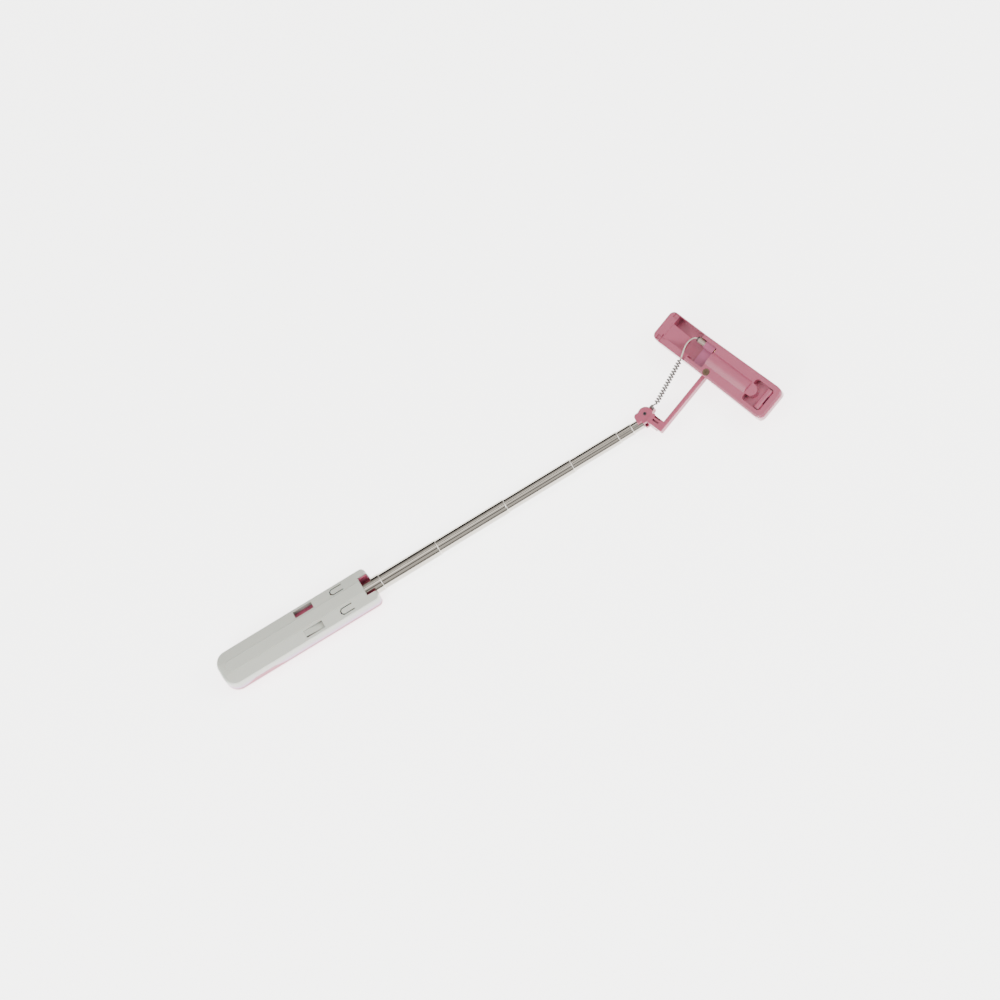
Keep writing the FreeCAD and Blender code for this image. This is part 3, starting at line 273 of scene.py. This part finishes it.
# Soft PVC jacket of the lead: darker along the curls as painted shade where
# the turns shade each other, lighter where it runs straight into the plug.
SOFT_PVC = Finish(
    "soft_pvc", "#6E6A66", "#5D5956", 0.36, mottle_mm=3, grain_depth=0.01,
    fade_axis=Axis.X, fade_colour="#C9B8AE", fade_from_mm=311.5, fade_to_mm=314.5,
)
# Clear-ish PVC moulding of the plug: beige grey, light goes a little way in.
PLUG_PVC = Finish(
    "plug_pvc", "#A08D83", "#8F7C72", 0.3, coat=0.3, mottle_mm=4, grain_depth=0.008,
    subsurface=0.3,
)
# The dark ring at the plug's root.
DARK_RING = Finish("dark_ring", "#4B4044", "#3E3438", 0.4, mottle_mm=3, grain_depth=0.01)
# Gold flash over brass on the plug's contact.
GOLD_FLASH = Finish(
    "gold_flash", "#D8BE7E", "#C9AC6A", 0.18, metallic=1.0, mottle_mm=2, grain_depth=0.002,
)


# ------------------------------------------------------------- geometry


@dataclass(frozen=True)
class HeadFrame:
    """The turned frame of the arm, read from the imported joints."""

    origin: Vector
    along: Vector
    across: Vector

    @classmethod
    def read(cls) -> "HeadFrame":
        """Read the hinge point and the clamp's slide direction.

        Returns:
            The frame whose first axis runs along the arm.
        """
        joints = {joint["name"]: joint for joint in frame["record"]["behaviour"]["joints"]}
        pin = joints["arm_fold"]["pos_m"]
        across = Vector(joints["jaw_slide"]["axis"]).normalized()
        along = Vector((across.y, -across.x, 0))
        return cls(Vector((pin[0], pin[1], 0)), along, across)

    def point(self, along: float, across: float, level: float) -> Vector:
        """Return a point given in millimetres in this frame."""
        flat = self.origin + self.along * (along * MM) + self.across * (across * MM)
        return flat + Vector((0, 0, level * MM))


def mesh_object(name: str, mesh: bpy.types.Mesh, material: bpy.types.Material) -> bpy.types.Object:
    """Link a mesh as an object at the origin, with one material."""
    mesh.materials.clear()
    mesh.materials.append(material)
    thing = bpy.data.objects.new(name, mesh)
    bpy.context.scene.collection.objects.link(thing)
    return thing


def sweep(name: str, path: Sequence[Vector], radius: float, sides: int) -> bpy.types.Mesh:
    """Make a closed round tube along a path, with rings that don't twist.

    Args:
        name: the mesh's name.
        path: the points of the centreline.
        radius: the tube's radius.
        sides: how many faces go round it.

    Returns:
        The mesh, with smooth faces and both ends closed.
    """
    shape = bmesh.new()
    normal = (path[1] - path[0]).orthogonal().normalized()
    rings = []
    for index, spot in enumerate(path):
        before = path[max(index - 1, 0)]
        after = path[min(index + 1, len(path) - 1)]
        way = (after - before).normalized()
        normal = (normal - way * normal.dot(way)).normalized()
        side = way.cross(normal)
        ring = []
        for step in range(sides):
            angle = 2 * math.pi * step / sides
            lift = (normal * math.cos(angle) + side * math.sin(angle)) * radius
            ring.append(shape.verts.new(spot + lift))
        rings.append(ring)
    for ring, following in zip(rings, rings[1:]):
        for step in range(sides):
            turned = (step + 1) % sides
            shape.faces.new((ring[step], ring[turned], following[turned], following[step]))
    shape.faces.new(list(reversed(rings[0])))
    shape.faces.new(rings[-1])
    for face in shape.faces:
        face.smooth = True
    mesh = bpy.data.meshes.new(name)
    shape.to_mesh(mesh)
    shape.free()
    return mesh


def grown_mesh(name: str, tree: bpy.types.NodeTree, values: dict[str, float]) -> bpy.types.Mesh:
    """Evaluate a geometry tree with its inputs set, as a plain mesh.

    Args:
        name: the mesh's name.
        tree: the geometry tree.
        values: input name to value.

    Returns:
        The evaluated mesh.
    """
    holder = bpy.data.objects.new(name + "_holder", bpy.data.meshes.new(name + "_holder"))
    bpy.context.scene.collection.objects.link(holder)
    modifier = holder.modifiers.new("grow", "NODES")
    modifier.node_group = tree
    for item in tree.interface.items_tree:
        if item.item_type == "SOCKET" and item.in_out == "INPUT" and item.name in values:
            modifier[item.identifier] = values[item.name]
    graph = bpy.context.evaluated_depsgraph_get()
    mesh = bpy.data.meshes.new_from_object(holder.evaluated_get(graph))
    mesh.name = name
    bpy.data.objects.remove(holder)
    return mesh


def geometry_tree(name: str, inputs: Iterable[str]) -> tuple[bpy.types.NodeTree, bpy.types.Node]:
    """Start a geometry tree that has named sizes as inputs.

    Args:
        name: the tree's name.
        inputs: the names of its float inputs.

    Returns:
        The tree and its group input node.
    """
    tree = bpy.data.node_groups.new(name, "GeometryNodeTree")
    tree.interface.new_socket("Geometry", in_out="OUTPUT", socket_type="NodeSocketGeometry")
    for label in inputs:
        tree.interface.new_socket(label, in_out="INPUT", socket_type="NodeSocketFloat")
    return tree, tree.nodes.new("NodeGroupInput")


def close_tree(
    tree: bpy.types.NodeTree, shape: bpy.types.NodeSocket, material: bpy.types.Material,
) -> None:
    """End a geometry tree in real, dressed geometry."""
    real = add(tree, "GeometryNodeRealizeInstances", in_0=shape)
    dressed = add(tree, "GeometryNodeSetMaterial", in_0=real.outputs[0], Material=material)
    add(tree, "NodeGroupOutput", in_0=dressed.outputs[0])


def dress(nodes: Iterable[str], material: bpy.types.Material) -> None:
    """Put one material on every slot of the named CAD nodes."""
    for name in nodes:
        thing = frame["nodes"][name]
        for slot in thing.material_slots:
            slot.material = material
        LOG.info("dressed %s in %s", name, material.name)


# -------------------------------------------------------- sub-assemblies


@dataclass
class Stage:
    """Camera, floor and soft light."""

    view_width: float = 0.66
    distance: float = 2.4
    floor_glow: float = 3.4
    surround: float = 1.0
    floor_half: float = 3.0
    tint: tuple = (1.0, 0.98, 0.94)
    # Tilt about the pole's axis in degrees, and how light the strip is there.
    strips: tuple = (
        (-90, 0.3), (-70, 0.5), (-60, 1.2), (-36, 1.3), (-31, 0.12), (-23, 0.12), (-19, 1.3),
        (-6, 1.5), (0, 4.0), (14, 4.0), (20, 0.5), (32, 0.9), (52, 0.7), (60, 0.03), (90, 0.02),
    )
    aim: tuple[float, float, float] = (0.1621, 0.0059, 0.0085)
    right: tuple[float, float, float] = (0.8535, -0.4626, -0.2400)
    up: tuple[float, float, float] = (0.5189, 0.7966, 0.3100)

    def camera(self) -> None:
        """Make the camera, square to its own right and up directions."""
        right = Vector(self.right).normalized()
        back = right.cross(Vector(self.up)).normalized()
        up = back.cross(right)
        data = bpy.data.cameras.new("camera")
        data.type = "ORTHO"
        data.ortho_scale = self.view_width
        camera = bpy.data.objects.new("camera", data)
        turn = Matrix((right, up, back)).transposed().to_4x4()
        camera.matrix_world = Matrix.Translation(Vector(self.aim) + back * self.distance) @ turn
        bpy.context.scene.collection.objects.link(camera)
        bpy.context.scene.camera = camera

    def floor(self) -> None:
        """Lay a pale floor under the object."""
        mesh = bpy.data.meshes.new("floor")
        half = self.floor_half
        corners = [(-half, -half, 0), (half, -half, 0), (half, half, 0), (-half, half, 0)]
        mesh.from_pydata(corners, [], [(0, 1, 2, 3)])
        paint = Finish(
            "floor_paint", "#FDFDFC", "#FBFBFA", 0.8,
            mottle_mm=400, grain_depth=0.0, glow=self.floor_glow,
        )
        mesh_object("floor", mesh, paint.material())

    def light(self) -> None:
        """Hang two soft boxes and set a surround of light and dark strips."""
        self._soft_box("key", (-0.9, -0.8, 1.1), 0.6, 22.0)
        self._soft_box("fill", (1.2, -0.5, 1.1), 0.5, 10.0)
        world = bpy.data.worlds.new("surround")
        bpy.context.scene.world = world
        world.use_nodes = True
        tree = world.node_tree
        tree.nodes.clear()
        way = add(tree, "ShaderNodeTexCoord").outputs["Generated"]
        split = add(tree, "ShaderNodeSeparateXYZ", Vector=way)
        tilt = add(
            tree, "ShaderNodeMath", {"operation": "ARCTAN2"},
            in_0=split.outputs["Y"], in_1=split.outputs["Z"],
        )
        share = add(
            tree, "ShaderNodeMapRange", Value=tilt.outputs[0],
            From_Min=-math.pi / 2, From_Max=math.pi / 2,
        )
        strips = add(tree, "ShaderNodeValToRGB", Fac=share.outputs["Result"])
        ramp = strips.color_ramp
        first, last = ramp.elements
        first.position, first.color = 0.0, (*[self.strips[0][1]] * 3, 1.0)
        last.position, last.color = 1.0, (*[self.strips[-1][1]] * 3, 1.0)
        for degrees, level in self.strips[1:-1]:
            stop = ramp.elements.new((degrees + 90) / 180)
            stop.color = (*[level * part for part in self.tint], 1.0)
        ground = add(
            tree, "ShaderNodeBackground", Color=strips.outputs["Color"], Strength=self.surround,
        )
        add(tree, "ShaderNodeOutputWorld", Surface=ground.outputs["Background"])

    def _soft_box(
        self, name: str, spot: tuple[float, float, float], size: float, power: float,
    ) -> None:
        """Hang one square soft box that faces the object.

        Args:
            name: the light's name.
            spot: where it hangs.
            size: its side in metres.
            power: its power in watts.
        """
        data = bpy.data.lights.new(name, "AREA")
        data.size = size
        data.energy = power
        lamp = bpy.data.objects.new(name, data)
        lamp.location = spot
        lamp.rotation_euler = (Vector(spot) - Vector(self.aim)).to_track_quat("Z", "Y").to_euler()
        bpy.context.scene.collection.objects.link(lamp)


@dataclass
class CurlyLead:
    """The lead: a thin start, a curly part and a thin tail into the plug.

    Route points are in millimetres in the arm's frame.
    """

    head: HeadFrame
    lead_points: tuple = ((6.55, 0, 12.2), (6.55, 0, 17.2))
    curl_points: tuple = (
        (8.2, -3.2, 17.4), (19.5, -1.8, 19.7), (31.0, -0.5, 22.1), (42.4, 0.9, 24.4),
    )
    tail_points: tuple = (
        (45.4, 1.8, 25.2), (53.0, 5.2, 24.0), (60.5, 5.0, 19.6), (60.5, 2.4, 19.6),
    )
    wire_mm: float = 1.0
    curl_mm: float = 3.8
    turns: int = 17
    points_per_turn: int = 16
    ramp_mm: float = 2.4
    least_step_mm: float = 0.2
    route_steps: int = 60
    wire_sides: int = 10

    def route(self) -> list[Vector]:
        """Read points from the route's smooth spline.

        Returns:
            Points along the centreline, close together.
        """
        data = bpy.data.curves.new("lead_route", "CURVE")
        data.dimensions = "3D"
        data.resolution_u = 40
        spline = data.splines.new("NURBS")
        controls = self.lead_points + self.curl_points + self.tail_points
        spots = [self.head.point(*spot) for spot in controls]
        spline.points.add(len(spots) - 1)
        for control, spot in zip(spline.points, spots):
            control.co = (*spot, 1.0)
        spline.order_u = 3
        spline.use_endpoint_u = True
        holder = bpy.data.objects.new("lead_route", data)
        bpy.context.scene.collection.objects.link(holder)
        line = bpy.data.meshes.new_from_object(holder)
        path = [vertex.co.copy() for vertex in line.vertices]
        bpy.data.objects.remove(holder)
        return path

    def _spaced(self, stations: Sequence[float]) -> list[float]:
        """Leave out stations that crowd the one before."""
        kept = [stations[0]]
        for station in stations[1:-1]:
            if station - kept[-1] > self.least_step_mm / 2 * MM:
                kept.append(station)
        return kept + [stations[-1]]

    def _nearest(self, path: Sequence[Vector], spot: tuple[float, float, float]) -> int:
        """Return the index of the path's point nearest to a route point."""
        target = self.head.point(*spot)
        return min(range(len(path)), key=lambda index: (path[index] - target).length)

    def build(self) -> bpy.types.Object:
        """Wind the helix on the route and sweep the wire.

        Returns:
            The finished lead.
        """
        path = self.route()
        reach = [0.0]
        for before, after in zip(path, path[1:]):
            reach.append(reach[-1] + (after - before).length)
        total = reach[-1]
        start = reach[self._nearest(path, self.curl_points[0])]
        end = reach[self._nearest(path, self.curl_points[-1])]
        ramp = self.ramp_mm * MM
        count = self.turns * self.points_per_turn
        marks = [total * step / self.route_steps for step in range(self.route_steps + 1)]
        stations = [mark for mark in marks if not start < mark < end]
        stations += [start + (end - start) * step / count for step in range(count + 1)]
        stations = self._spaced(sorted(stations))
        throw = (self.curl_mm - self.wire_mm) / 2 * MM
        normal = (path[1] - path[0]).orthogonal().normalized()
        wound = []
        index = 0
        for station in stations:
            while index < len(path) - 2 and reach[index + 1] < station:
                index += 1
            span = max(reach[index + 1] - reach[index], 1e-9)
            share = min(max((station - reach[index]) / span, 0.0), 1.0)
            spot = path[index].lerp(path[index + 1], share)
            way = (path[index + 1] - path[index]).normalized()
            normal = (normal - way * normal.dot(way)).normalized()
            side = way.cross(normal)
            inside = min(max(min(station - start, end - station) / ramp, 0.0), 1.0)
            inside = inside * inside * (3 - 2 * inside)
            angle = 2 * math.pi * self.turns * (station - start) / (end - start)
            lift = (normal * math.cos(angle) + side * math.sin(angle)) * throw * inside
            wound.append(spot + lift)
        mesh = sweep("curly_lead", wound, self.wire_mm / 2 * MM, self.wire_sides)
        lead = mesh_object("curly_lead", mesh, SOFT_PVC.material())
        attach(lead, "arm")
        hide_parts("cord_lead", "cord_coil", "cord_tail")
        return lead


@dataclass
class Handle:
    """The handle's shells and what they hold."""

    def build(self) -> None:
        """Dress the handle's nodes."""
        dress(["handle_back_shell"], WHITE_ABS.material())
        dress(["handle_front_cover"], PINK_ABS.material())
        dress(["shutter_button"], PINK_ABS.material())
        # The collar sits deep in the handle's mouth: its darker pink is painted shade.
        dress(["pole_collar"], SHADED_PINK_ABS.material())
        dress(["tact_switch", "pole_root_plug"], BLACK_ACETAL.material())
        dress(["shutter_board"], GREEN_BOARD.material())
        dress(["board_screws"], ZINC_STEEL.material())


@dataclass
class Pole:
    """Seven tubes, each with a rolled bead at its mouth."""

    tubes: int = 7
    bead_mm: float = 0.3
    bead_width_mm: float = 0.6
    ring_points: int = 96
    section_points: int = 14

    def tree(self, material: bpy.types.Material) -> bpy.types.NodeTree:
        """Build the tree that rolls one bead round the pole's axis.

        Args:
            material: the bead's finish.

        Returns:
            The geometry tree.
        """
        tree, sizes = geometry_tree("rolled_bead", ["Radius", "Bead", "Width", "Station", "Level"])
        ring = add(
            tree, "GeometryNodeCurvePrimitiveCircle",
            Resolution=self.ring_points, Radius=sizes.outputs["Radius"],
        )
        section = add(
            tree, "GeometryNodeCurvePrimitiveCircle", Resolution=self.section_points, Radius=1.0,
        )
        scale = add(
            tree, "ShaderNodeCombineXYZ", X=sizes.outputs["Bead"], Y=sizes.outputs["Width"], Z=1.0,
        )
        oval = add(
            tree, "GeometryNodeTransform",
            Geometry=section.outputs["Curve"], Scale=scale.outputs[0],
        )
        bead = add(
            tree, "GeometryNodeCurveToMesh",
            Curve=ring.outputs["Curve"], in_1=oval.outputs["Geometry"],
        )
        place = add(
            tree, "ShaderNodeCombineXYZ", X=sizes.outputs["Station"], Z=sizes.outputs["Level"],
        )
        stood = add(
            tree, "GeometryNodeTransform", Geometry=bead.outputs["Mesh"],
            Rotation=(0.0, math.pi / 2, 0.0), Translation=place.outputs[0],
        )
        smooth = add(tree, "GeometryNodeSetShadeSmooth", Geometry=stood.outputs["Geometry"])
        close_tree(tree, smooth.outputs["Geometry"], material)
        return tree

    def build(self) -> None:
        """Dress the tubes and roll a bead at each open mouth."""
        bright = BRIGHT_TUBE.material()
        names = [f"pole_tube_{number}" for number in range(1, self.tubes + 1)]
        dress(names, bright)
        bushes = [f"slide_bush_{number}" for number in range(2, self.tubes + 1)]
        dress(bushes, BLACK_ACETAL.material())
        # The beads' lighter colour is a painted highlight at each mouth.
        bead_highlight = BEAD_PAINTED_HIGHLIGHT.material()
        tree = self.tree(bead_highlight)
        for number, name in enumerate(names[:-1], start=1):
            low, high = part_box(name)
            radius = (high[1] - low[1]) / 2
            half_width = self.bead_width_mm / 2 * MM
            values = {
                "Radius": radius, "Bead": self.bead_mm / 2 * MM, "Width": half_width,
                "Station": high[0] - half_width, "Level": low[2] + radius,
            }
            title = f"mouth_bead_{number}"
            bead = mesh_object(title, grown_mesh(title, tree, values), bead_highlight)
            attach(bead, "handle" if number == 1 else f"tube_{number}")
            LOG.info("rolled %s", bead.name)


@dataclass
class Head:
    """The pole's end fitting, its hinge and the cranked arm."""

    def build(self) -> None:
        """Dress the head's nodes."""
        dress(["pole_head", "fold_arm"], PINK_ABS.material())
        dress(["hinge_rivet"], DARK_RING.material())
        dress(["arm_screw"], BRONZE.material())
        dress(["cord_gland"], SOFT_PVC.material())


@dataclass
class Clamp:
    """The phone clamp, its springs and the parked plug."""

    head: HeadFrame
    spring_turns: float = 26.0
    wire_mm: float = 0.45
    turn_points: int = 18
    wire_points: int = 8

    def tree(self, material: bpy.types.Material) -> bpy.types.NodeTree:
        """Build the tree that winds a pull spring.

        Args:
            material: the spring's finish.

        Returns:
            The geometry tree.
        """
        tree, sizes = geometry_tree("pull_spring", ["Radius", "Length", "Turns", "Wire"])
        spiral = add(
            tree, "GeometryNodeCurveSpiral",
            Resolution=self.turn_points, Rotations=sizes.outputs["Turns"],
            Start_Radius=sizes.outputs["Radius"], End_Radius=sizes.outputs["Radius"],
            Height=sizes.outputs["Length"],
        )
        wire = add(
            tree, "GeometryNodeCurvePrimitiveCircle",
            Resolution=self.wire_points, Radius=sizes.outputs["Wire"],
        )
        coil = add(
            tree, "GeometryNodeCurveToMesh",
            Curve=spiral.outputs["Curve"], in_1=wire.outputs["Curve"],
        )
        coil.inputs["Fill Caps"].default_value = True
        smooth = add(tree, "GeometryNodeSetShadeSmooth", Geometry=coil.outputs["Mesh"])
        close_tree(tree, smooth.outputs["Geometry"], material)
        return tree

    def build(self) -> None:
        """Dress the clamp's nodes and wind its springs."""
        dress(["clamp_housing", "clamp_slider"], GLOSS_PINK_ABS.material())
        dress(["clamp_front_plate"], PINK_ABS.material())
        # The dock's bluer tint is a painted reflection, not a different plastic.
        dress(["plug_dock"], LILAC_SHEEN_ABS.material())
        dress(["plate_screws"], ZINC_STEEL.material())
        dress(["moving_jaw_pad", "fixed_jaw_pad"], PAD_RUBBER.material())
        dress(["plug_body"], PLUG_PVC.material())
        dress(["plug_collar"], DARK_RING.material())
        dress(["plug_tip"], GOLD_FLASH.material())
        steel = ZINC_STEEL.material()
        tree = self.tree(steel)
        for node in ("jaw_spring_left", "jaw_spring_right"):
            self._spring(node, tree, steel)

    def _spring(self, node: str, tree: bpy.types.NodeTree, steel: bpy.types.Material) -> None:
        """Wind one spring in the place of its CAD tube.

        Args:
            node: the CAD node it stands for.
            tree: the spring's geometry tree.
            steel: its finish.
        """
        low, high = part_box(node)
        radius = (high[2] - low[2]) / 2
        middle = (Vector(low) + Vector(high)) / 2
        way = -self.head.across
        spread = max(high[1] - low[1] - 2 * radius * abs(way.x), 0) / abs(way.y)
        wire = self.wire_mm / 2 * MM
        values = {
            "Radius": radius - wire, "Length": spread - 2 * wire,
            "Turns": self.spring_turns, "Wire": wire,
        }
        mesh = grown_mesh(node + "_coil", tree, values)
        turn = way.to_track_quat("Z", "Y").to_matrix().to_4x4()
        mesh.transform(Matrix.Translation(middle - way * (values["Length"] / 2)) @ turn)
        spring = mesh_object(node + "_coil", mesh, steel)
        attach(spring, "arm")
        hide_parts(node)
        LOG.info("wound %s", spring.name)


def main() -> None:
    """Build the stage, the lead and each sub-assembly."""
    logging.basicConfig(level=logging.INFO, format="%(name)s: %(message)s")
    stage = Stage()
    stage.camera()
    head = HeadFrame.read()
    CurlyLead(head).build()
    Handle().build()
    Pole().build()
    Head().build()
    Clamp(head).build()
    stage.floor()
    stage.light()


if __name__ == "__main__":
    main()
